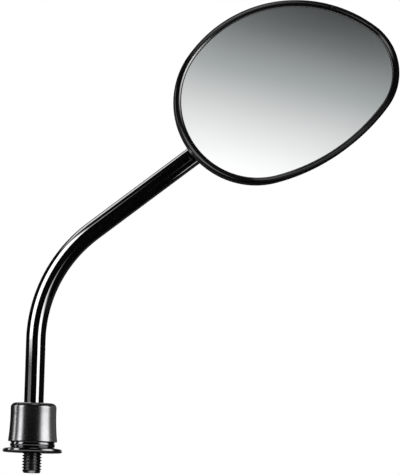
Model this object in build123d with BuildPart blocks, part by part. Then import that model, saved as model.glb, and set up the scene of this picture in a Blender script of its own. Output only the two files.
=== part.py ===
import os
from math import atan2, cos, radians, sin, sqrt, tan

from build123d import *

os.makedirs("parts", exist_ok=True)

# All lengths are in millimetres. The origin is the centre of the seat under the flange,
# +Z runs up the stud and the lower stem, and the glass faces -Y.

# clearances
thread_gap = 0.05
ball_gap = 0.05
press_gap = 0.02
pin_gap = 0.05
screw_gap = 0.05
washer_gap = 0.2
slide_gap = 0.3
swing_gap = 0.4
glass_gap = 0.2
shell_gap = 0.05

# lock nut and washer
nut_across_flats = 17.0
nut_height = 8.0
nut_turns = 3
nut_bevel_in = 0.2
nut_bevel_out = 0.3
nut_bevel_high = 0.9
washer_r = 9.0
washer_thick = 2.2
washer_split = 1.5
nut_corner = nut_across_flats / 2 / cos(radians(30))

# stem: 10 mm rod with an M10 x 1.5 thread at its foot, modelled at its pitch radius where nuts run
rod_r = 5.0
thread_pitch = 1.5
thread_r = rod_r - 0.3248 * thread_pitch
stud_length = 10.5
stud_chamfer = 1.0
thread_runout = 0.4
bend_radius = 72.9
bend_angle = 51.3
arm_length = 80.1

# cover: a bell whose inner step rests on the seat ring
cover_nut_room = 0.885
cover_wall = 1.0
cover_step = 0.8
cover_skirt_wall = 0.75
cover_waist_swell = 0.2
cover_waist_rise = 7.4
cover_shoulder = 2.4
cover_roof = 1.8
cover_headroom = 1.1
cover_corner = 1.0
cover_travel = 30.0
cover_spare = 2.25
cover_inner_r = nut_corner + cover_nut_room
cover_head_r = cover_inner_r + cover_wall
cover_bore_r = rod_r + 2 * slide_gap

# seat ring
flange_reach = 3.7
flange_edge = 1.9
flange_top = 2.5
flange_round = 0.75
recess_margin = 2.2
recess_deep = 0.8
neck_shown = 3.1
neck_hidden = 2.0
neck_chamfer = 0.3
neck_waist = 0.4
neck_r = cover_inner_r + cover_step
neck_waist_r = neck_r - neck_waist
flange_r = neck_r + flange_reach
recess_r = flange_r - recess_margin
cover_skirt_r = neck_r + slide_gap
cover_foot_r = cover_skirt_r + cover_skirt_wall
cover_waist_r = cover_head_r + cover_waist_swell

# heights up the lower stem
neck_mid = flange_top + neck_shown / 2
cover_bottom = flange_top + neck_shown
ring_top = cover_bottom + neck_hidden
nut_from = ring_top + washer_thick
nut_rise = nut_turns * thread_pitch
cover_ceiling = nut_from + nut_height + nut_rise + cover_headroom
cover_top = cover_ceiling + cover_roof
thread_top = cover_ceiling - thread_runout
bend_start = cover_top + cover_travel + cover_spare

# ball joint
ball_r = 6.5
ball_flat_cut = 1.0
ball_flat = ball_r - ball_flat_cut
neck_step = 1.2
neck_length = 1.7
taper_length = 4.8
spigot_step = 0.8
spigot_cover = 2.1
neck_tip_r = rod_r - neck_step
taper_to = ball_flat + neck_length
taper_from = taper_to + taper_length
spigot_r = neck_tip_r - spigot_step
spigot_end = ball_r - spigot_cover
spigot_room = 0.1
pin_r = 1.0
pin_sunk = 0.5
pin_length = 2 * (ball_r - pin_sunk)
liner_thick = 1.0
socket_thick = 1.0
liner_in = ball_r + ball_gap
liner_out = liner_in + liner_thick
socket_in = liner_out + ball_gap
socket_out = socket_in + socket_thick
seat_in = socket_out + ball_gap
tilt_limit = 10.0
corner_tilt = 14.4

# clamp over the ball
clamp_wall = 2.85
clamp_roof = 1.55
clamp_round = 3.0
clamp_slack = 0.4
screw_r = 2.0
screw_head_r = 3.5
screw_head_high = 2.2
screw_head_round = 0.9
screw_length = 10.0
screw_hole_spare = 0.6
slot_length = 3.6
slot_width = 0.8
slot_deep = 1.2
spring_washer_r = 3.6
spring_washer_thick = 0.9
ear_wall = 2.6
ear_thick = 2.6
ear_clear = 0.4
boss_wall = 2.0
clamp_r = seat_in + clamp_wall
ear_r = screw_r + ear_wall
ear_reach = clamp_r + ear_r + ear_clear
boss_r = screw_r + boss_wall
screw_seat = ear_thick + spring_washer_thick

# glass, pad, plate and rim, as depths behind the front of the rim
glass_crown = 1.35
glass_radius = 1200.0
glass_thick = 2.0
pad_thick = 1.0
pad_margin = 3.6
plate_thick = 1.8
bezel_wall = 1.2
bezel_round = 1.8
crest_from = 1.95
crest_width = 0.2
crest_drop = 0.1
bevel_width = 0.7
bevel_drop = 0.72
lip_width = 0.5
lip_drop = 0.15
crest_inset = crest_from + crest_width
bevel_inset = crest_inset + bevel_width
lip_inset = bevel_inset + lip_width
bevel_deep = crest_drop + bevel_drop
lip_deep = bevel_deep + lip_drop
tongue_length = 2.4
glass_inset = bezel_wall + glass_gap
pad_inset = glass_inset + pad_margin

# head outline: round end and nose joined by two flank arcs, all tangent
round_end_r = 42.2
nose_r = 29.5
nose_reach = 46.8
head_turn = 21.4
top_flank_r = 68.5
bottom_flank_r = 104.5
crown_u = (nose_reach + nose_r - round_end_r) / 2
crown_v = -2.0
glass_far = nose_reach + nose_r - crown_u
glass_sag = glass_radius - sqrt(glass_radius**2 - glass_far**2)

# head shell
shell_step = 0.3
shell_wall = 2.4
shell_draft = 6.0
shell_dome = 220.0
shell_round = 10.0
shell_back = 7.85
socket_room = 2.7
head_rise = 2.4
clamp_room = 2.2
plate_back = glass_crown + glass_sag + glass_thick + pad_thick + plate_thick
bezel_depth = plate_back + tongue_length
ball_depth = plate_back + clamp_room + clamp_roof + seat_in
shell_depth = ball_depth + seat_in + shell_back
ball_inset = clamp_r + shell_wall + shell_step + socket_room
tongue_inset = bezel_wall + shell_gap
core_inset = shell_step + shell_wall

# places on the stem and the ball
bend = radians(bend_angle)
arm = (sin(bend), 0, cos(bend))
arm_up = (-cos(bend), 0, sin(bend))
bend_mid = (bend_radius * (1 - cos(bend / 2)), 0, bend_start + bend_radius * sin(bend / 2))
bend_end = (bend_radius * (1 - cos(bend)), 0, bend_start + bend_radius * sin(bend))
ball_x = bend_end[0] + arm_length * arm[0]
ball_z = bend_end[2] + arm_length * arm[2]
ball_at = (ball_x, 0, ball_z)
rod_end = (ball_x - taper_from * arm[0], 0, ball_z - taper_from * arm[2])
ball_plane = Plane(origin=ball_at, x_dir=arm, z_dir=(0, -1, 0))
ball_axis = Axis(ball_at, arm)
ear_places = [(ear_reach, 0), (0, ear_reach), (0, -ear_reach)]

# places in the head
head_reach = round_end_r - ball_inset
round_end_x = ball_x + head_reach * arm[0] + head_rise * arm_up[0]
round_end_z = ball_z + head_reach * arm[2] + head_rise * arm_up[2]
turn = radians(head_turn)
head_x = (cos(turn), 0, sin(turn))
head_y = (-sin(turn), 0, cos(turn))
head_front = Plane(origin=(round_end_x, -ball_depth, round_end_z), x_dir=head_x, z_dir=(0, -1, 0))
crown_x = round_end_x + crown_u * head_x[0] + crown_v * head_y[0]
crown_z = round_end_z + crown_u * head_x[2] + crown_v * head_y[2]
glass_centre = (crown_x, glass_crown + glass_radius - ball_depth, crown_z)
dome_centre = (crown_x, shell_depth - shell_dome - ball_depth, crown_z)

# flank centres, found from the two tangent circles
top_a = top_flank_r - round_end_r
top_b = top_flank_r - nose_r
top_u = (nose_reach**2 + top_a**2 - top_b**2) / (2 * nose_reach)
top_v = -sqrt(top_a**2 - top_u**2)
bottom_a = bottom_flank_r - round_end_r
bottom_b = bottom_flank_r - nose_r
bottom_u = (nose_reach**2 + bottom_a**2 - bottom_b**2) / (2 * nose_reach)
bottom_v = sqrt(bottom_a**2 - bottom_u**2)
top_left = atan2(-top_v, -top_u)
top_right = atan2(-top_v, nose_reach - top_u)
bottom_left = atan2(-bottom_v, -bottom_u)
bottom_right = atan2(-bottom_v, nose_reach - bottom_u)


def rim_point(u, v, r, angle):
    return (u + r * cos(angle), v + r * sin(angle))


# the head outline moved inwards by inset, drawn as four tangent arcs on the open sketch
def outline(inset):
    end_r = round_end_r - inset
    tip_r = nose_r - inset
    top_r = top_flank_r - inset
    low_r = bottom_flank_r - inset
    p1 = rim_point(0, 0, end_r, top_left)
    p2 = rim_point(nose_reach, 0, tip_r, top_right)
    p3 = rim_point(nose_reach, 0, tip_r, bottom_right)
    p4 = rim_point(0, 0, end_r, bottom_left)
    top_mid = rim_point(top_u, top_v, top_r, (top_left + top_right) / 2)
    tip_mid = rim_point(nose_reach, 0, tip_r, (top_right + bottom_right) / 2)
    low_mid = rim_point(bottom_u, bottom_v, low_r, (bottom_left + bottom_right) / 2)
    end_mid = rim_point(0, 0, end_r, (top_left + bottom_left) / 2 + radians(180))
    with BuildLine(Plane.XY) as rim:
        ThreePointArc(p1, top_mid, p2)
        ThreePointArc(p2, tip_mid, p3)
        ThreePointArc(p3, low_mid, p4)
        ThreePointArc(p4, end_mid, p1)
    make_face(rim.edges())


# stem
with BuildPart() as stem:
    with BuildLine():
        Line((0, 0, thread_top), (0, 0, bend_start))
        ThreePointArc((0, 0, bend_start), bend_mid, bend_end)
        Line(bend_end, rod_end)
    with BuildSketch(Plane.XY.offset(thread_top)):
        Circle(rod_r)
    sweep()
    with BuildSketch(Plane.XY):
        Circle(thread_r)
    extrude(amount=thread_top)
    with BuildSketch(Plane.XY):
        Circle(rod_r)
    extrude(amount=-stud_length)
    chamfer(stem.edges().sort_by(Axis.Z)[0], length=stud_chamfer)
    with BuildSketch(ball_plane):
        with BuildLine():
            Polyline(
                (-taper_from, 0),
                (-taper_from, rod_r),
                (-taper_to, neck_tip_r),
                (-ball_flat, neck_tip_r),
                (-ball_flat, spigot_r),
                (spigot_end, spigot_r),
                (spigot_end, 0),
                close=True,
            )
        make_face()
    revolve(axis=ball_axis)
    # cross hole for the ball pin
    with BuildSketch(Plane(origin=(ball_x, ball_r, ball_z), z_dir=(0, -1, 0))):
        Circle(pin_r + pin_gap)
    extrude(amount=2 * ball_r, mode=Mode.SUBTRACT)

# pivot ball
with BuildPart() as pivot_ball:
    with Locations(ball_plane):
        Sphere(ball_r)
    with BuildSketch(Plane(origin=ball_plane.from_local_coords((-ball_flat, 0, 0)), z_dir=arm)):
        Circle(ball_r)
    extrude(amount=-ball_r, mode=Mode.SUBTRACT)
    with BuildSketch(Plane(origin=ball_plane.from_local_coords((-ball_r, 0, 0)), z_dir=arm)):
        Circle(spigot_r + press_gap)
    extrude(amount=ball_r + spigot_end + spigot_room, mode=Mode.SUBTRACT)
    with BuildSketch(Plane(origin=(ball_x, ball_r, ball_z), z_dir=(0, -1, 0))):
        Circle(pin_r + press_gap)
    extrude(amount=2 * ball_r, mode=Mode.SUBTRACT)

# ball pin
with BuildPart() as ball_pin:
    with BuildSketch(Plane(origin=(ball_x, pin_length / 2, ball_z), z_dir=(0, -1, 0))):
        Circle(pin_r)
    extrude(amount=pin_length)

# seat ring, its neck a rounded bead below the cover
with BuildPart() as seat_ring:
    with BuildSketch(Plane.XZ):
        with BuildLine():
            Polyline(
                (neck_waist_r, cover_bottom),
                (neck_r, cover_bottom),
                (neck_r, ring_top),
                (thread_r + thread_gap, ring_top),
                (thread_r + thread_gap, recess_deep),
                (recess_r - recess_deep, recess_deep),
                (recess_r, 0),
                (flange_r, 0),
                (flange_r, flange_edge),
                (neck_waist_r, flange_top),
            )
            ThreePointArc(
                (neck_waist_r, flange_top),
                (neck_r, neck_mid),
                (neck_waist_r, cover_bottom),
            )
        make_face()
    revolve(axis=Axis.Z)
    flange_edges = seat_ring.edges().filter_by(GeomType.CIRCLE)
    fillet(flange_edges.filter_by(lambda e: abs(e.radius - flange_r) < 0.01), flange_round)
    neck_edges = seat_ring.edges().filter_by(GeomType.CIRCLE)
    neck_edges = neck_edges.filter_by(lambda e: abs(e.radius - neck_r) < 0.01)
    chamfer(neck_edges.sort_by(Axis.Z)[-1:], neck_chamfer)

# lock washer
with BuildPart() as lock_washer:
    with BuildSketch(Plane.XY.offset(ring_top)):
        Circle(washer_r)
        Circle(rod_r + washer_gap, mode=Mode.SUBTRACT)
    extrude(amount=washer_thick)
    with BuildSketch(Plane.XY.offset(ring_top)):
        with Locations((washer_r, 0)):
            Rectangle(washer_r, washer_split)
    extrude(amount=washer_thick, mode=Mode.SUBTRACT)

# lock nut
nut_top = nut_from + nut_height
nut_bevel_r = nut_across_flats / 2 - nut_bevel_in
nut_outer_r = nut_corner + nut_bevel_out
with BuildPart() as lock_nut:
    with BuildSketch(Plane.XY.offset(nut_from)):
        RegularPolygon(radius=nut_corner, side_count=6)
        Circle(thread_r + thread_gap, mode=Mode.SUBTRACT)
    extrude(amount=nut_height)
    with BuildSketch(Plane.XZ):
        with BuildLine():
            Polyline(
                (0, nut_from),
                (nut_bevel_r, nut_from),
                (nut_outer_r, nut_from + nut_bevel_high),
                (nut_outer_r, nut_top - nut_bevel_high),
                (nut_bevel_r, nut_top),
                (0, nut_top),
                close=True,
            )
        make_face()
    revolve(axis=Axis.Z, mode=Mode.INTERSECT)

# cover
with BuildPart() as cover:
    with BuildSketch(Plane.XZ):
        with BuildLine():
            Line((cover_skirt_r, cover_bottom), (cover_foot_r, cover_bottom))
            ThreePointArc(
                (cover_foot_r, cover_bottom),
                (cover_waist_r, cover_bottom + cover_waist_rise),
                (cover_head_r, cover_top - cover_shoulder),
            )
            RadiusArc(
                (cover_head_r, cover_top - cover_shoulder),
                (cover_head_r - cover_shoulder, cover_top),
                -cover_shoulder,
            )
            Polyline(
                (cover_head_r - cover_shoulder, cover_top),
                (cover_bore_r, cover_top),
                (cover_bore_r, cover_ceiling),
                (cover_inner_r - cover_corner, cover_ceiling),
                (cover_inner_r, cover_ceiling - cover_corner),
                (cover_inner_r, ring_top),
                (cover_skirt_r, ring_top),
                (cover_skirt_r, cover_bottom),
            )
        make_face()
    revolve(axis=Axis.Z)

# nylon half cups on the ball
with BuildPart() as liner_front:
    with Locations(ball_plane):
        Sphere(liner_out)
        Sphere(liner_in, mode=Mode.SUBTRACT)
    with BuildSketch(Plane(origin=ball_at, z_dir=arm)):
        Circle(neck_tip_r + swing_gap)
    extrude(amount=-2 * liner_out, mode=Mode.SUBTRACT)
    split(bisect_by=ball_plane, keep=Keep.TOP)

with BuildPart() as liner_rear:
    with Locations(ball_plane):
        Sphere(liner_out)
        Sphere(liner_in, mode=Mode.SUBTRACT)
    with BuildSketch(Plane(origin=ball_at, z_dir=arm)):
        Circle(neck_tip_r + swing_gap)
    extrude(amount=-2 * liner_out, mode=Mode.SUBTRACT)
    split(bisect_by=ball_plane, keep=Keep.BOTTOM)

# steel half cups round the liner, open where the stem swings
socket_hole_r = socket_out * tan(radians(tilt_limit)) + rod_r / cos(radians(tilt_limit)) + swing_gap
with BuildPart() as socket_front:
    with Locations(ball_plane):
        Sphere(socket_out)
        Sphere(socket_in, mode=Mode.SUBTRACT)
    with BuildSketch(Plane(origin=ball_at, z_dir=arm)):
        Circle(socket_hole_r)
    extrude(amount=-2 * socket_out, mode=Mode.SUBTRACT)
    split(bisect_by=ball_plane, keep=Keep.TOP)

with BuildPart() as socket_rear:
    with Locations(ball_plane):
        Sphere(socket_out)
        Sphere(socket_in, mode=Mode.SUBTRACT)
    with BuildSketch(Plane(origin=ball_at, z_dir=arm)):
        Circle(socket_hole_r)
    extrude(amount=-2 * socket_out, mode=Mode.SUBTRACT)
    split(bisect_by=ball_plane, keep=Keep.BOTTOM)

# room in which the stem swings, a cone on the stem's axis
swing_from = rod_r / cos(radians(corner_tilt)) + swing_gap
swing_reach = 45.0
swing_r = swing_from + swing_reach * tan(radians(corner_tilt))
with BuildPart() as swing_room:
    with BuildSketch(ball_plane):
        with BuildLine():
            Polyline((0, 0), (0, swing_from), (-swing_reach, swing_r), (-swing_reach, 0), close=True)
        make_face()
    revolve(axis=ball_axis)

# clamp plate in front of the ball
with BuildPart() as clamp_plate:
    with BuildSketch(ball_plane):
        Circle(clamp_r)
    extrude(amount=seat_in + clamp_roof)
    fillet(clamp_plate.edges().sort_by(Axis.Y)[0], clamp_round)
    for ear in ear_places:
        with BuildSketch(ball_plane):
            with Locations(ear):
                Circle(ear_r)
            with BuildLine():
                span = sqrt(ear[0] ** 2 + ear[1] ** 2)
                side = (-ear[1] / span * ear_r, ear[0] / span * ear_r)
                Polyline(
                    (side[0], side[1]),
                    (ear[0] + side[0], ear[1] + side[1]),
                    (ear[0] - side[0], ear[1] - side[1]),
                    (-side[0], -side[1]),
                    close=True,
                )
            make_face()
        extrude(amount=ear_thick)
    with Locations(ball_plane):
        Sphere(seat_in, mode=Mode.SUBTRACT)
    with BuildSketch(ball_plane):
        with Locations(*ear_places):
            Circle(screw_r + slide_gap)
    extrude(amount=ear_thick, mode=Mode.SUBTRACT)
    add(swing_room.part, mode=Mode.SUBTRACT)

# spring washers under the three screw heads
with BuildPart() as spring_washers:
    with BuildSketch(ball_plane.offset(ear_thick)):
        with Locations(*ear_places):
            Circle(spring_washer_r)
            Circle(screw_r + washer_gap, mode=Mode.SUBTRACT)
    extrude(amount=spring_washer_thick)

# clamp screws with a cross slot
with BuildPart() as clamp_screws:
    with BuildSketch(ball_plane.offset(screw_seat)):
        with Locations(*ear_places):
            Circle(screw_head_r)
    extrude(amount=screw_head_high)
    fillet(clamp_screws.edges().group_by(Axis.Y)[0], screw_head_round)
    with BuildSketch(ball_plane.offset(screw_seat)):
        with Locations(*ear_places):
            Circle(screw_r)
    extrude(amount=-screw_length)
    with BuildSketch(ball_plane.offset(screw_seat + screw_head_high)):
        with Locations(*ear_places):
            Rectangle(slot_length, slot_width)
            Rectangle(slot_width, slot_length)
    extrude(amount=-slot_deep, mode=Mode.SUBTRACT)

# hollow of the head shell, with the ball seat and the screw bosses left standing
with BuildPart() as shell_core:
    with BuildSketch(head_front.offset(-plate_back)):
        outline(core_inset)
    extrude(amount=-shell_depth, taper=shell_draft)
    with Locations(dome_centre):
        Sphere(shell_dome - shell_wall, mode=Mode.INTERSECT)
    fillet(shell_core.faces().sort_by(Axis.Y)[-1].edges(), shell_round - shell_wall)
    with BuildSketch(ball_plane.offset(-clamp_slack)):
        Circle(clamp_r)
    extrude(amount=-shell_depth, mode=Mode.SUBTRACT)
    with BuildSketch(ball_plane):
        with Locations(*ear_places):
            Circle(boss_r)
    extrude(amount=-shell_depth, mode=Mode.SUBTRACT)

# head shell
with BuildPart() as head_shell:
    with BuildSketch(head_front.offset(-bezel_depth - shell_gap)):
        outline(shell_step)
    extrude(amount=-shell_depth, taper=shell_draft)
    with Locations(dome_centre):
        Sphere(shell_dome, mode=Mode.INTERSECT)
    fillet(head_shell.faces().sort_by(Axis.Y)[-1].edges(), shell_round)
    with BuildSketch(head_front.offset(-plate_back)):
        outline(tongue_inset)
    extrude(amount=-(bezel_depth + shell_gap - plate_back))
    add(shell_core.part, mode=Mode.SUBTRACT)
    with Locations(ball_plane):
        Sphere(seat_in, mode=Mode.SUBTRACT)
    add(swing_room.part, mode=Mode.SUBTRACT)
    with BuildSketch(ball_plane):
        with Locations(*ear_places):
            Circle(screw_r + screw_gap)
    extrude(amount=-(screw_length - screw_seat + screw_hole_spare), mode=Mode.SUBTRACT)

# room behind the rim's lip, its front curved like the glass
with BuildPart() as bezel_room:
    with BuildSketch(head_front):
        outline(bezel_wall)
    extrude(amount=-bezel_depth)
    with Locations(glass_centre):
        Sphere(glass_radius, mode=Mode.INTERSECT)

# rim bezel: rounded outside, inside an eased crest, a bevel and a thin lip on the glass
with BuildPart() as rim_bezel:
    with BuildSketch(head_front):
        outline(0)
    extrude(amount=-bezel_depth)
    fillet(rim_bezel.faces().sort_by(Axis.Y)[0].edges(), bezel_round)
    add(bezel_room.part, mode=Mode.SUBTRACT)
    with BuildSketch(head_front):
        outline(crest_from)
    with BuildSketch(head_front.offset(-crest_drop)):
        outline(crest_inset)
    with BuildSketch(head_front.offset(-bevel_deep)):
        outline(bevel_inset)
    with BuildSketch(head_front.offset(-lip_deep)):
        outline(lip_inset)
    loft(ruled=True, mode=Mode.SUBTRACT)
    with BuildSketch(head_front.offset(-lip_deep)):
        outline(lip_inset)
    extrude(amount=-bezel_depth, mode=Mode.SUBTRACT)

# convex glass
with BuildPart() as mirror_glass:
    with BuildSketch(head_front):
        outline(glass_inset)
    extrude(amount=-bezel_depth)
    with Locations(glass_centre):
        Sphere(glass_radius, mode=Mode.INTERSECT)
        Sphere(glass_radius - glass_thick, mode=Mode.SUBTRACT)

# foam pad behind the glass
with BuildPart() as foam_pad:
    with BuildSketch(head_front):
        outline(pad_inset)
    extrude(amount=-bezel_depth)
    with Locations(glass_centre):
        Sphere(glass_radius - glass_thick, mode=Mode.INTERSECT)
        Sphere(glass_radius - glass_thick - pad_thick, mode=Mode.SUBTRACT)

# backing plate, its front curved like the glass
with BuildPart() as backing_plate:
    with BuildSketch(head_front):
        outline(glass_inset)
    extrude(amount=-plate_back)
    with Locations(glass_centre):
        Sphere(glass_radius - glass_thick - pad_thick, mode=Mode.INTERSECT)

stem.part.label = "stem"
pivot_ball.part.label = "pivot_ball"
ball_pin.part.label = "ball_pin"
seat_ring.part.label = "seat_ring"
lock_washer.part.label = "lock_washer"
lock_nut.part.label = "lock_nut"
cover.part.label = "cover"
liner_front.part.label = "liner_front"
liner_rear.part.label = "liner_rear"
socket_front.part.label = "socket_front"
socket_rear.part.label = "socket_rear"
clamp_plate.part.label = "clamp_plate"
spring_washers.part.label = "spring_washers"
clamp_screws.part.label = "clamp_screws"
head_shell.part.label = "head_shell"
rim_bezel.part.label = "rim_bezel"
mirror_glass.part.label = "mirror_glass"
foam_pad.part.label = "foam_pad"
backing_plate.part.label = "backing_plate"

export_step(stem.part, "parts/stem.step")
export_step(pivot_ball.part, "parts/pivot_ball.step")
export_step(ball_pin.part, "parts/ball_pin.step")
export_step(seat_ring.part, "parts/seat_ring.step")
export_step(lock_washer.part, "parts/lock_washer.step")
export_step(lock_nut.part, "parts/lock_nut.step")
export_step(cover.part, "parts/cover.step")
export_step(liner_front.part, "parts/liner_front.step")
export_step(liner_rear.part, "parts/liner_rear.step")
export_step(socket_front.part, "parts/socket_front.step")
export_step(socket_rear.part, "parts/socket_rear.step")
export_step(clamp_plate.part, "parts/clamp_plate.step")
export_step(spring_washers.part, "parts/spring_washers.step")
export_step(clamp_screws.part, "parts/clamp_screws.step")
export_step(head_shell.part, "parts/head_shell.step")
export_step(rim_bezel.part, "parts/rim_bezel.step")
export_step(mirror_glass.part, "parts/mirror_glass.step")
export_step(foam_pad.part, "parts/foam_pad.step")
export_step(backing_plate.part, "parts/backing_plate.step")
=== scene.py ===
import math

import bmesh
import bpy
from mathutils import Matrix, Vector


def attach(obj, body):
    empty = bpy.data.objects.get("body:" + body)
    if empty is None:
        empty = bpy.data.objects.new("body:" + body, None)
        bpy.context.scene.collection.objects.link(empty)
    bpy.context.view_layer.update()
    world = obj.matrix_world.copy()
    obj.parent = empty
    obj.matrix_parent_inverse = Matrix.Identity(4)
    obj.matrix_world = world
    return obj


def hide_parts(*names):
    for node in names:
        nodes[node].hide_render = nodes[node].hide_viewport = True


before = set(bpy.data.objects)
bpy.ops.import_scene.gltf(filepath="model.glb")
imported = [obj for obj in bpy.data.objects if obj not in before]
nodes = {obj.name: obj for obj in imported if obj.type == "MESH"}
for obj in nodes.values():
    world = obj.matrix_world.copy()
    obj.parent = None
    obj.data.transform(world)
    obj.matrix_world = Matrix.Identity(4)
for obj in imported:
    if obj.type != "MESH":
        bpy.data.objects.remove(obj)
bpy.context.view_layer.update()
scene = bpy.context.scene
scene.view_settings.view_transform = "Standard"
mm = 0.001

# camera, set from the pixel that shows the centre of the flange seat
shot = {
    "azimuth": -5.0,
    "elevation": -4.5,
    "roll": 1.7,
    "seatPixel": (32.2, 452.5),
    "picture": (400, 475),
    "pixelSize": 0.51 * mm,
    "distance": 2.4,
    "sensor": 36.0,
    "clip": (0.01, 50.0),
}


# azimuth 0 is the side that the glass faces, in degrees
def bearing(azimuth, elevation):
    turn, rise = math.radians(azimuth), math.radians(elevation)
    flat = math.cos(rise)
    return Vector((math.sin(turn) * flat, -math.cos(turn) * flat, math.sin(rise)))


def makeCamera():
    turn, roll = math.radians(shot["azimuth"]), math.radians(shot["roll"])
    back = bearing(shot["azimuth"], shot["elevation"])
    level = Vector((math.cos(turn), math.sin(turn), 0))
    upright = back.cross(level)
    across = level * math.cos(roll) + upright * math.sin(roll)
    upward = upright * math.cos(roll) - level * math.sin(roll)
    wide, high = shot["picture"]
    aim = across * (wide / 2 - shot["seatPixel"][0]) * shot["pixelSize"]
    aim += upward * (shot["seatPixel"][1] - high / 2) * shot["pixelSize"]
    lens = bpy.data.cameras.new("camera")
    lens.sensor_width = shot["sensor"]
    lens.lens = lens.sensor_width * shot["distance"] / (high * shot["pixelSize"])
    lens.clip_start, lens.clip_end = shot["clip"]
    camera = bpy.data.objects.new("camera", lens)
    camera.matrix_world = Matrix((across, upward, back)).transposed().to_4x4()
    camera.location = aim + back * shot["distance"]
    scene.collection.objects.link(camera)
    scene.camera = camera


makeCamera()
print("camera set")


# each socket takes a plain value or the output of another node
def feed(tree, node, sockets):
    for socket, source in sockets.items():
        if isinstance(source, bpy.types.NodeSocket):
            tree.links.new(source, node.inputs[socket])
        else:
            node.inputs[socket].default_value = source


def addNode(tree, kind, sockets, operation=None):
    node = tree.nodes.new(kind)
    if operation:
        node.operation = operation
    feed(tree, node, sockets)
    return node


def emptyTree(owner):
    owner.use_nodes = True
    owner.node_tree.nodes.clear()
    return owner.node_tree


# what a finish has unless it says otherwise
finishBase = {
    "metal": 0.0, "ior": 1.5, "coat": 0.0, "coatRough": 0.03, "coatIor": 1.5,
    "stretch": (1.0, 1.0, 1.0), "contrast": (0.3, 0.7), "patchDetail": 4.0, "grainDetail": 6.0,
}


# the walls behind the lip and the bead stay matt, as they come from the mould
def addMattWall(tree, place, gloss, wall):
    split = addNode(tree, "ShaderNodeSeparateXYZ", {"Vector": place})
    deep = addNode(tree, "ShaderNodeMapRange", {
        "Value": split.outputs["Y"], "To Min": gloss, "To Max": wall["rough"],
        "From Min": wall["front"], "From Max": wall["front"] + wall["blend"]})
    return deep.outputs["Result"]


# a finish: slow patches of colour, a finer grain in the gloss, and the grain as a shallow relief
def makeFinish(name, own):
    look = {**finishBase, **own}
    faint, strong = look["contrast"]
    finish = bpy.data.materials.new(name)
    finish.use_nodes = True
    tree = finish.node_tree
    place = tree.nodes.new("ShaderNodeTexCoord").outputs["Object"]
    patches = addNode(tree, "ShaderNodeTexNoise", {
        "Vector": place, "Scale": look["patchScale"], "Detail": look["patchDetail"]})
    tint = addNode(tree, "ShaderNodeValToRGB", {"Fac": patches.outputs["Fac"]})
    ends = zip(tint.color_ramp.elements, look["contrast"], (look["dark"], look["light"]))
    for stop, position, colour in ends:
        stop.position = position
        stop.color = (*colour, 1.0)
    stretch = addNode(tree, "ShaderNodeMapping", {"Vector": place, "Scale": look["stretch"]})
    grain = addNode(tree, "ShaderNodeTexNoise", {
        "Vector": stretch.outputs["Vector"], "Scale": look["grainScale"],
        "Detail": look["grainDetail"]})
    gloss = addNode(tree, "ShaderNodeMapRange", {
        "Value": grain.outputs["Fac"], "From Min": faint, "From Max": strong,
        "To Min": look["rough"][0], "To Max": look["rough"][1]}).outputs["Result"]
    if "mattWall" in look:
        gloss = addMattWall(tree, place, gloss, look["mattWall"])
    relief = addNode(tree, "ShaderNodeBump", {
        "Height": grain.outputs["Fac"], "Strength": look["relief"],
        "Distance": look["reliefDeep"] * mm})
    feed(tree, tree.nodes["Principled BSDF"], {
        "Base Color": tint.outputs["Color"], "Roughness": gloss, "Normal": relief.outputs["Normal"],
        "Metallic": look["metal"], "IOR": look["ior"], "Coat Weight": look["coat"],
        "Coat Roughness": look["coatRough"], "Coat IOR": look["coatIor"]})
    return finish


enamel = makeFinish("glossBlackEnamel", {
    "dark": (0.0015, 0.0015, 0.0017), "light": (0.003, 0.003, 0.0034), "patchScale": 60.0,
    "grainScale": 900.0, "rough": (0.04, 0.08), "relief": 0.015, "reliefDeep": 0.005,
    "ior": 1.6, "coat": 1.0, "coatIor": 1.6, "coatRough": 0.02,
})
blackThread = makeFinish("blackenedThread", {
    "dark": (0.002, 0.002, 0.0022), "light": (0.006, 0.006, 0.0065), "patchScale": 900.0,
    "grainScale": 6000.0, "rough": (0.25, 0.35), "relief": 0.1, "reliefDeep": 0.01,
})
gunmetal = makeFinish("satinGunmetal", {
    "dark": (0.22, 0.22, 0.225), "light": (0.25, 0.25, 0.255), "patchScale": 220.0,
    "grainScale": 900.0, "stretch": (0.2, 0.2, 2.0), "rough": (0.22, 0.26),
    "relief": 0.02, "reliefDeep": 0.005, "metal": 1.0,
})
darkRing = makeFinish("glossDarkRing", {
    "dark": (0.16, 0.16, 0.165), "light": (0.2, 0.2, 0.205), "patchScale": 300.0,
    "grainScale": 1500.0, "stretch": (0.2, 0.2, 2.0), "rough": (0.1, 0.15),
    "relief": 0.02, "reliefDeep": 0.005, "metal": 1.0,
})
zinc = makeFinish("zincPlate", {
    "dark": (0.5, 0.5, 0.49), "light": (0.66, 0.66, 0.65), "patchScale": 700.0,
    "grainScale": 2600.0, "rough": (0.26, 0.42), "relief": 0.12, "reliefDeep": 0.02, "metal": 1.0,
})
groundSteel = makeFinish("groundSteel", {
    "dark": (0.55, 0.55, 0.56), "light": (0.64, 0.64, 0.65), "patchScale": 400.0,
    "grainScale": 1800.0, "stretch": (0.2, 6.0, 0.2), "rough": (0.12, 0.24),
    "relief": 0.06, "reliefDeep": 0.01, "metal": 1.0,
})
pressedSteel = makeFinish("pressedSteel", {
    "dark": (0.42, 0.42, 0.42), "light": (0.52, 0.52, 0.52), "patchScale": 300.0,
    "grainScale": 1400.0, "stretch": (1.0, 0.15, 1.0), "rough": (0.28, 0.44),
    "relief": 0.1, "reliefDeep": 0.02, "metal": 1.0,
})
whiteNylon = makeFinish("whiteNylon", {
    "dark": (0.74, 0.73, 0.69), "light": (0.82, 0.81, 0.77), "patchScale": 250.0,
    "grainScale": 2200.0, "rough": (0.4, 0.55), "relief": 0.15, "reliefDeep": 0.03,
})
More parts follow.
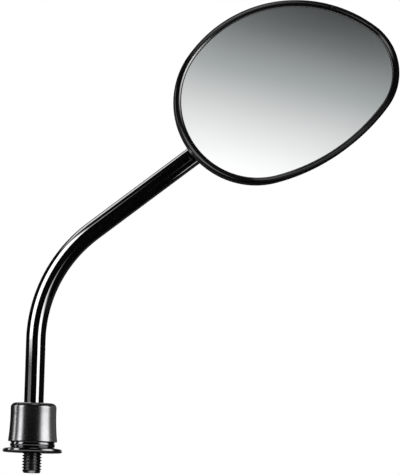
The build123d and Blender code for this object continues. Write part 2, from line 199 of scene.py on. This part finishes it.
greyNylon = makeFinish("greyNylon", {
    "dark": (0.085, 0.085, 0.09), "light": (0.12, 0.12, 0.125), "patchScale": 250.0,
    "grainScale": 2600.0, "rough": (0.42, 0.58), "relief": 0.2, "reliefDeep": 0.03,
})
shellPlastic = makeFinish("glossShellPlastic", {
    "dark": (0.008, 0.008, 0.009), "light": (0.014, 0.014, 0.015), "patchScale": 40.0,
    "grainScale": 1300.0, "rough": (0.14, 0.24), "relief": 0.06, "reliefDeep": 0.02,
})
rimPlastic = makeFinish("semiGlossRim", {
    "dark": (0.003, 0.003, 0.0033), "light": (0.005, 0.005, 0.0055), "patchScale": 60.0,
    "grainScale": 1800.0, "rough": (0.1, 0.16), "relief": 0.02, "reliefDeep": 0.005, "ior": 1.47,
    "mattWall": {"front": -0.01904, "blend": 0.0001, "rough": 0.45},
})
silvered = makeFinish("silveredGlass", {
    "dark": (0.93, 0.94, 0.94), "light": (0.96, 0.965, 0.965), "patchScale": 12.0,
    "grainScale": 40.0, "rough": (0.004, 0.012), "relief": 0.0, "reliefDeep": 0.001, "metal": 1.0,
})
padFoam = makeFinish("padFoam", {
    "dark": (0.05, 0.05, 0.05), "light": (0.095, 0.095, 0.095), "patchScale": 1600.0,
    "grainScale": 2400.0, "rough": (0.8, 0.95), "relief": 0.6, "reliefDeep": 0.15,
})
plateSheet = makeFinish("blackPlate", {
    "dark": (0.03, 0.03, 0.032), "light": (0.045, 0.045, 0.048), "patchScale": 200.0,
    "grainScale": 2600.0, "rough": (0.4, 0.55), "relief": 0.2, "reliefDeep": 0.03,
})

nodeFinish = {
    "pivot_ball": groundSteel, "ball_pin": groundSteel, "seat_ring": darkRing,
    "lock_washer": zinc, "lock_nut": zinc, "cover": gunmetal,
    "liner_front": whiteNylon, "liner_rear": whiteNylon,
    "socket_front": pressedSteel, "socket_rear": pressedSteel,
    "clamp_plate": greyNylon, "spring_washers": zinc, "clamp_screws": zinc,
    "head_shell": shellPlastic, "rim_bezel": rimPlastic, "mirror_glass": silvered,
    "foam_pad": padFoam, "backing_plate": plateSheet, "stem": enamel,
}
for nodeName, finish in nodeFinish.items():
    slots = nodes[nodeName].data.materials
    slots.clear()
    slots.append(finish)
print("finishes on", len(nodeFinish), "nodes")

# stem: spun thread, rod bent round one centre, taper and spigot into the ball, in mm and degrees
stemSize = {
    "rodR": 5.0, "segments": 96, "armLength": 80.1,
    "bendStart": 57.45, "bendRadius": 72.9, "bendAngle": 51.3, "bendSteps": 64,
    "threadTop": 23.0, "runout": 0.4, "hiddenR": 4.513,
    "studLength": 10.5, "tipR": 4.05, "chamfer": 1.1, "chamferR": 4.7,
    "pitch": 1.5, "threadDeep": 0.8, "crestFlat": 0.25, "rootFlat": 0.4,
    "turnSteps": 48, "turnsBelow": 2, "turnsAbove": 1,
    "taperFrom": 12.0, "taperTo": 7.2, "neckR": 3.8, "ballFlat": 5.5,
    "spigotR": 3.0, "spigotEnd": 1.1,
    "threadMerge": 0.002, "shellMerge": 0.001, "sharpAngle": 10.0,
}


# one pitch of the profile is spun up the stud, and spare turns are trimmed off square and capped
def spinThread(lowZ, highZ, crestR, leadR):
    pitch, steps = stemSize["pitch"], stemSize["turnSteps"]
    rootR = crestR - stemSize["threadDeep"]
    flank = (pitch - stemSize["crestFlat"] - stemSize["rootFlat"]) / 2
    crestZ = stemSize["rootFlat"] + flank
    corners = [(rootR, 0), (rootR, stemSize["rootFlat"]), (crestR, crestZ),
               (crestR, crestZ + stemSize["crestFlat"]), (rootR, pitch)]
    turns = math.ceil((highZ - lowZ) / pitch) + stemSize["turnsBelow"] + stemSize["turnsAbove"]
    startZ = lowZ - stemSize["turnsBelow"] * pitch
    thread = bmesh.new()
    points = [thread.verts.new((r * mm, 0, (startZ + z) * mm)) for r, z in corners]
    lines = [thread.edges.new(pair) for pair in zip(points, points[1:])]
    bmesh.ops.spin(thread, geom=points + lines, cent=(0, 0, 0), axis=(0, 0, 1),
                   dvec=(0, 0, pitch * mm / steps), angle=2 * math.pi * turns, steps=steps * turns)
    bmesh.ops.remove_doubles(thread, verts=thread.verts, dist=stemSize["threadMerge"] * mm)
    for z, side in ((lowZ, -1), (highZ, 1)):
        everything = thread.verts[:] + thread.edges[:] + thread.faces[:]
        cut = bmesh.ops.bisect_plane(thread, geom=everything, plane_co=(0, 0, z * mm),
                                     plane_no=(0, 0, side), clear_outer=True)
        loop = [part for part in cut["geom_cut"] if isinstance(part, bmesh.types.BMEdge)]
        bmesh.ops.edgeloop_fill(thread, edges=loop)
    for v in thread.verts:  # the lower end leads in at 45 degrees from leadR
        allowed = leadR + v.co.z / mm - lowZ
        reach = math.hypot(v.co.x, v.co.y) / mm
        if reach > allowed:
            v.co.x *= allowed / reach
            v.co.y *= allowed / reach
    return thread


# plain chamfer at the foot of the stud, below the first turn
def makeFoot():
    size = stemSize
    foot = bmesh.new()
    middle = Matrix.Translation((0, 0, (size["chamfer"] / 2 - size["studLength"]) * mm))
    bmesh.ops.create_cone(foot, cap_ends=True, segments=size["segments"], radius1=size["tipR"] * mm,
                          radius2=size["chamferR"] * mm, depth=size["chamfer"] * mm, matrix=middle)
    return foot


def ringParts(made):
    points = [part for part in made if isinstance(part, bmesh.types.BMVert)]
    known = set(points)
    lines = [part for part in made
             if isinstance(part, bmesh.types.BMEdge) and known.issuperset(part.verts)]
    return points, lines


# the open ring is extruded, moved along the run and scaled about its own centre
def stepRing(rod, lines, move, grow=1.0):
    points, lines = ringParts(bmesh.ops.extrude_edge_only(rod, edges=lines)["geom"])
    bmesh.ops.translate(rod, verts=points, vec=move)
    middle = sum((v.co for v in points), Vector()) / len(points)
    bmesh.ops.scale(rod, verts=points, vec=(grow,) * 3, space=Matrix.Translation(-middle))
    return points, lines


def makeRod():
    size = stemSize
    bend = math.radians(size["bendAngle"])
    rod = bmesh.new()
    bmesh.ops.create_circle(rod, cap_ends=False, segments=size["segments"],
                            radius=size["hiddenR"] * mm,
                            matrix=Matrix.Translation((0, 0, size["threadTop"] * mm)))
    lines = rod.edges[:]
    bmesh.ops.edgeloop_fill(rod, edges=lines)
    straight = size["bendStart"] - (size["threadTop"] + size["runout"])
    shoulder = size["rodR"] / size["hiddenR"]
    points, lines = stepRing(rod, lines, (0, 0, size["runout"] * mm), shoulder)
    points, lines = stepRing(rod, lines, (0, 0, straight * mm))
    centre = (size["bendRadius"] * mm, 0, size["bendStart"] * mm)
    spun = bmesh.ops.spin(rod, geom=points + lines, cent=centre, axis=(0, 1, 0), angle=bend,
                          steps=size["bendSteps"])
    points, lines = ringParts(spun["geom_last"])
    along = Vector((math.sin(bend), 0, math.cos(bend)))
    for run, grow in ((size["armLength"] - size["taperFrom"], 1.0),
                      (size["taperFrom"] - size["taperTo"], size["neckR"] / size["rodR"]),
                      (size["taperTo"] - size["ballFlat"], 1.0),
                      (0.0, size["spigotR"] / size["neckR"]),
                      (size["ballFlat"] - size["spigotEnd"], 1.0)):
        points, lines = stepRing(rod, lines, along * run * mm, grow)
    bmesh.ops.edgeloop_fill(rod, edges=lines)
    return rod


def makePiece(name, shape):
    mesh = bpy.data.meshes.new(name)
    shape.to_mesh(mesh)
    shape.free()
    piece = bpy.data.objects.new(name, mesh)
    scene.collection.objects.link(piece)
    return piece


def joinShells(name, shells):
    whole = bmesh.new()
    for shell, slotIndex in shells:
        bmesh.ops.remove_doubles(shell, verts=shell.verts, dist=stemSize["shellMerge"] * mm)
        bmesh.ops.recalc_face_normals(shell, faces=shell.faces)
        for face in shell.faces:
            face.material_index = slotIndex
            face.smooth = True
        part = bpy.data.meshes.new(name + "Part")
        shell.to_mesh(part)
        shell.free()
        whole.from_mesh(part)
        bpy.data.meshes.remove(part)
    piece = makePiece(name, whole)
    piece.data.set_sharp_from_angle(angle=math.radians(stemSize["sharpAngle"]))
    return piece


threadFoot = stemSize["chamfer"] - stemSize["studLength"]
stud = spinThread(threadFoot, 0.0, stemSize["rodR"], stemSize["chamferR"])
hiddenThread = spinThread(0.0, stemSize["threadTop"], stemSize["hiddenR"], stemSize["hiddenR"])
stemRod = joinShells("stemRod", [(makeRod(), 0), (makeFoot(), 1), (stud, 1), (hiddenThread, 1)])
stemRod.data.materials.append(enamel)
stemRod.data.materials.append(blackThread)
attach(stemRod, "stem")
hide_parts("stem")
print("stem spun:", len(stemRod.data.polygons), "faces")

# studio: each lamp is a soft box given by the span that it fills, seen from the place it is about,
# in degrees, and "on" lists the pieces that reflect it
studio = {
    "stem": Vector((0.05, 0.0, 0.1)),
    "head": Vector((0.135, -0.01, 0.185)),
    "armEnd": Vector((0.0838, 0.0, 0.1596)),
    "foot": Vector((0.0, 0.0, -0.01)),
    "leftRim": Vector((0.0818, -0.02, 0.2015)),
}
footMetal = ["cover", "seat_ring", "lock_nut", "lock_washer"]
# power is the watts of a box with a shine of 1 and an area of 1 square metre
boxBase = {"about": "stem", "away": 1.0, "sides": 0.08, "low": 0.1, "top": 0.1, "power": 4.0}
lampList = [
    {"name": "keyBox", "azimuth": (18.5, 51), "elevation": (-11, 16), "shine": 8.6,
     "low": 0.36, "on": ["stemRod"]},
    {"name": "sideBox", "azimuth": (-88, -42), "elevation": (-0.2, 52.5), "shine": 9.5,
     "low": 0.05, "top": 0.22, "on": ["stemRod"]},
    {"name": "sideCard", "azimuth": (-86, -45), "elevation": (-10, 0.2), "shine": 1.0,
     "on": ["stemRod"]},
    {"name": "backBox", "azimuth": (-150, -106), "elevation": (37, 57), "shine": 2.6,
     "low": 0.3, "on": ["stemRod"]},
    {"name": "armCard", "about": "armEnd", "away": 0.5, "azimuth": (58, 105),
     "elevation": (-46.5, -40), "shine": 6.0, "spread": 9, "on": ["stemRod"]},
    {"name": "coverBox", "azimuth": (27, 91), "elevation": (-8, 28), "shine": 3.2,
     "sides": 0.32, "on": footMetal},
    {"name": "coverSide", "azimuth": (86, 152), "elevation": (-8, 28), "shine": 0.16,
     "on": ["cover"]},
    {"name": "coverEdgeA", "azimuth": (-83, -56), "elevation": (-8, 28), "shine": 3.5,
     "sides": 0.3, "on": footMetal},
    {"name": "coverEdgeB", "azimuth": (-111, -99), "elevation": (-8, 28), "shine": 3.0,
     "sides": 0.25, "on": ["cover", "seat_ring"]},
    {"name": "ringBack", "azimuth": (140, 220), "elevation": (-6, 30), "shine": 0.7,
     "on": ["seat_ring"]},
    {"name": "tipCard", "about": "foot", "away": 0.25, "azimuth": (-60, 60),
     "elevation": (-75, -42), "shine": 6.0, "on": ["stemRod"]},
    {"name": "glassEdge", "about": "head", "away": 0.6, "azimuth": (66, 104),
     "elevation": (-40, 28), "shine": 13.0, "low": 0.16, "top": 0.8, "on": ["mirror_glass"]},
    {"name": "rimLine", "about": "leftRim", "away": 0.6, "azimuth": (-8, 6), "elevation": (3, 16),
     "shine": 5.0, "spread": 10, "on": ["rim_bezel"]},
    {"name": "rimEdge", "about": "head", "away": 0.6, "azimuth": (-128, -106),
     "elevation": (-14, 14), "shine": 1.7, "on": ["rim_bezel"]},
    {"name": "rimFoot", "about": "head", "away": 0.6, "azimuth": (-92, -8), "elevation": (-52, -8),
     "shine": 2.3, "sides": 0.18, "low": 0.2, "top": 0.4, "on": ["rim_bezel"]},
    {"name": "rimTop", "about": "head", "away": 0.8, "azimuth": (-74, 4), "elevation": (38, 66),
     "shine": 2.1, "sides": 0.12, "low": 0.15, "on": ["rim_bezel", "mirror_glass"]},
    {"name": "rimBrow", "about": "head", "away": 0.8, "azimuth": (-42, 20), "elevation": (20, 42),
     "shine": 1.0, "sides": 0.3, "low": 0.3, "top": 0.2, "on": ["rim_bezel"]},
    {"name": "rimRight", "about": "head", "away": 0.6, "azimuth": (5, 52), "elevation": (-38, -4),
     "shine": 0.65, "sides": 0.3, "low": 0.3, "top": 0.3, "on": ["rim_bezel"]},
    {"name": "overheadBox", "azimuth": (-40, 40), "elevation": (62, 88), "shine": 0.8, "on": []},
]
fillBox = {"name": "frontFill", "size": 1.4, "energy": 16.0, "place": Vector((0.3, -1.6, 0.7))}


def onlyFor(thing, names):
    group = bpy.data.collections.new(thing.name + "Group")
    for name in names:
        group.objects.link(bpy.data.objects[name])
    thing.light_linking.receiver_collection = group


# the box is brightest inside and fades to its four sides, by the share of its span given for each
def fadeBox(light, lamp):
    light.use_nodes = True
    tree = light.node_tree
    place = tree.nodes.new("ShaderNodeNewGeometry").outputs["Parametric"]
    split = addNode(tree, "ShaderNodeSeparateXYZ", {"Vector": place})
    level = 1.0
    for axis, end, share in (("X", 0.0, lamp["sides"]), ("X", 1.0, lamp["sides"]),
                             ("Y", 0.0, lamp["low"]), ("Y", 1.0, lamp["top"])):
        side = addNode(tree, "ShaderNodeMapRange", {
            "Value": split.outputs[axis], "From Min": end, "From Max": abs(end - share)})
        side.interpolation_type = "SMOOTHSTEP"
        both = addNode(tree, "ShaderNodeMath", {0: level, 1: side.outputs["Result"]}, "MULTIPLY")
        level = both.outputs["Value"]
    feed(tree, tree.nodes["Emission"], {"Strength": level})


def hangLight(light, place, toward):
    box = bpy.data.objects.new(light.name, light)
    box.location = place
    box.rotation_mode = "QUATERNION"
    box.rotation_quaternion = toward.to_track_quat("Z", "Y")
    box.visible_camera = False
    scene.collection.objects.link(box)
    return box


def makeLamp(own):
    lamp = {**boxBase, **own}
    azFrom, azTo = lamp["azimuth"]
    elFrom, elTo = lamp["elevation"]
    middle = (elFrom + elTo) / 2
    toward = bearing((azFrom + azTo) / 2, middle)
    narrow = math.cos(math.radians(middle))  # a degree of azimuth is shorter higher up
    light = bpy.data.lights.new(lamp["name"], "AREA")
    light.shape = "RECTANGLE"
    light.size = 2 * lamp["away"] * math.tan(math.radians(azTo - azFrom) / 2 * narrow)
    light.size_y = 2 * lamp["away"] * math.tan(math.radians(elTo - elFrom) / 2)
    light.energy = lamp["shine"] * lamp["power"] * light.size * light.size_y
    if "spread" in lamp:  # a narrow beam keeps its level on the axis
        half = math.radians(lamp["spread"]) / 2
        light.spread = 2 * half
        light.energy *= 1 - half / math.tan(half)
    fadeBox(light, lamp)
    box = hangLight(light, studio[lamp["about"]] + toward * lamp["away"], toward)
    if lamp["on"]:
        box.visible_diffuse = False  # a reflection for these pieces, and no more light on them
        onlyFor(box, lamp["on"])


# broad fill from the front that lights colours and leaves no reflection
def makeFill():
    light = bpy.data.lights.new(fillBox["name"], "AREA")
    light.shape = "DISK"
    light.size = fillBox["size"]
    light.energy = fillBox["energy"]
    fill = hangLight(light, fillBox["place"], fillBox["place"] - studio["stem"])
    fill.visible_glossy = False


for lamp in lampList:
    makeLamp(lamp)
makeFill()
print("lamps:", len(lampList) + 1)

# two cards for reflections: the glass looks at the upright one, which is graded by height,
# and what is seen from above looks at the flat one, where the grades run on
card = {
    "y": -1.2, "halfWide": 1.6, "low": -0.298, "high": 1.7, "footY": 0.2,
    "lean": 11.0, "footGrade": 0.646,
    "greys": [(-0.3, 0.35), (0.2, 1.12), (0.302, 0.728), (0.3802, 0.418), (0.4601, 0.187),
              (0.4873, 0.127), (0.5094, 0.088), (0.54, 0.058)],
    "coolBelow": 0.6, "cool": 0.95, "blue": 1.005,
}


def makeCardGlow():
    glow = bpy.data.materials.new("cardGlow")
    tree = emptyTree(glow)
    lean = math.radians(card["lean"])
    place = tree.nodes.new("ShaderNodeTexCoord").outputs["Object"]
    along = addNode(tree, "ShaderNodeVectorMath", {
        0: place, 1: (math.sin(lean), card["footGrade"], math.cos(lean))}, "DOT_PRODUCT")
    heights, greys = zip(*card["greys"])
    lowest, highest = heights[0], heights[-1]
    shift = card["y"] * card["footGrade"]
    height = addNode(tree, "ShaderNodeMapRange", {
        "Value": along.outputs["Value"], "From Min": lowest + shift, "From Max": highest + shift})
    ramp = addNode(tree, "ShaderNodeValToRGB", {"Fac": height.outputs["Result"]})
    stops = ramp.color_ramp.elements
    for z in heights[1:-1]:
        stops.new((z - lowest) / (highest - lowest))
    for stop, grey in zip(stops, greys):
        cool = card["cool"] if grey < card["coolBelow"] else 1.0
        stop.color = (grey * cool, grey, grey * card["blue"], 1.0)
    light = addNode(tree, "ShaderNodeEmission", {"Color": ramp.outputs["Color"]})
    addNode(tree, "ShaderNodeOutputMaterial", {"Surface": light.outputs["Emission"]})
    return glow


def makeCard(name, nearEnd, farEnd, glow, seenBy):
    sheet = bmesh.new()
    wide = card["halfWide"]
    left = [sheet.verts.new((-wide, y, z)) for y, z in (nearEnd, farEnd)]
    made = bmesh.ops.extrude_edge_only(sheet, edges=[sheet.edges.new(left)])["geom"]
    bmesh.ops.translate(sheet, verts=ringParts(made)[0], vec=(2 * wide, 0, 0))
    panel = makePiece(name, sheet)
    panel.data.materials.append(glow)
    panel.visible_camera = False
    panel.visible_diffuse = False
    panel.visible_shadow = False
    onlyFor(panel, seenBy)


cardGlow = makeCardGlow()
cardFoot = (card["y"], card["low"])
makeCard("gradedCard", cardFoot, (card["y"], card["high"]), cardGlow, ["mirror_glass"])
makeCard("floorCard", (card["footY"], card["low"]), cardFoot, cardGlow,
         ["mirror_glass", *footMetal])

# pale floor: takes the shadow, looks near white to the camera, and is open from below
floorLook = {"z": -0.3, "radius": 3.0, "segments": 96, "tone": 0.8, "toneInGloss": 0.1,
             "lift": (0.45, 0.45, 0.45, 1.0)}


def makeFloor():
    look = floorLook
    disc = bmesh.new()
    bmesh.ops.create_circle(disc, cap_ends=True, segments=look["segments"], radius=look["radius"],
                            matrix=Matrix.Translation((0, 0, look["z"])))
    floor = makePiece("paleFloor", disc)
    paint = bpy.data.materials.new("paleFloor")
    tree = emptyTree(paint)
    ray = tree.nodes.new("ShaderNodeLightPath").outputs
    below = tree.nodes.new("ShaderNodeNewGeometry").outputs["Backfacing"]
    tone = addNode(tree, "ShaderNodeMapRange", {
        "Value": ray["Is Glossy Ray"], "To Min": look["tone"], "To Max": look["toneInGloss"]})
    matt = addNode(tree, "ShaderNodeBsdfDiffuse", {"Color": tone.outputs["Result"]})
    lift = addNode(tree, "ShaderNodeEmission", {
        "Color": look["lift"], "Strength": ray["Is Camera Ray"]})
    both = addNode(tree, "ShaderNodeAddShader", {
        0: matt.outputs["BSDF"], 1: lift.outputs["Emission"]})
    openSide = tree.nodes.new("ShaderNodeBsdfTransparent")
    pick = addNode(tree, "ShaderNodeMixShader", {
        "Fac": below, 1: both.outputs["Shader"], 2: openSide.outputs["BSDF"]})
    addNode(tree, "ShaderNodeOutputMaterial", {"Surface": pick.outputs["Shader"]})
    floor.data.materials.append(paint)


makeFloor()

# white behind the object for the camera, for what is seen through glass,
# and in gloss that looks that way
surround = {"behind": (0.0, 0.6, 0.8), "fadeFrom": 28.0, "fadeTo": 12.0, "room": 0.4,
            "roomInGloss": 0.01, "backLevel": 1.0, "white": (1.0, 1.0, 1.0, 1.0)}


def makeSurround():
    world = bpy.data.worlds.new("surround")
    scene.world = world
    tree = emptyTree(world)
    ray = tree.nodes.new("ShaderNodeLightPath").outputs
    place = tree.nodes.new("ShaderNodeTexCoord").outputs["Generated"]
    facing = addNode(tree, "ShaderNodeVectorMath", {0: place, 1: surround["behind"]}, "DOT_PRODUCT")
    behind = addNode(tree, "ShaderNodeMapRange", {
        "Value": facing.outputs["Value"], "From Min": math.cos(math.radians(surround["fadeFrom"])),
        "From Max": math.cos(math.radians(surround["fadeTo"]))})
    shiny = addNode(tree, "ShaderNodeMath", {
        0: behind.outputs["Result"], 1: ray["Is Glossy Ray"]}, "MULTIPLY")
    seen = addNode(tree, "ShaderNodeMath", {
        0: ray["Is Camera Ray"], 1: ray["Is Transmission Ray"]}, "MAXIMUM")
    white = addNode(tree, "ShaderNodeMath", {
        0: seen.outputs["Value"], 1: shiny.outputs["Value"]}, "MAXIMUM")
    level = addNode(tree, "ShaderNodeMapRange", {
        "Value": ray["Is Glossy Ray"], "To Min": surround["room"],
        "To Max": surround["roomInGloss"]})
    room = addNode(tree, "ShaderNodeBackground", {
        "Color": surround["white"], "Strength": level.outputs["Result"]})
    back = addNode(tree, "ShaderNodeBackground", {
        "Color": surround["white"], "Strength": surround["backLevel"]})
    pick = addNode(tree, "ShaderNodeMixShader", {
        "Fac": white.outputs["Value"], 1: room.outputs["Background"],
        2: back.outputs["Background"]})
    addNode(tree, "ShaderNodeOutputWorld", {"Surface": pick.outputs["Shader"]})


makeSurround()
print("stage set")
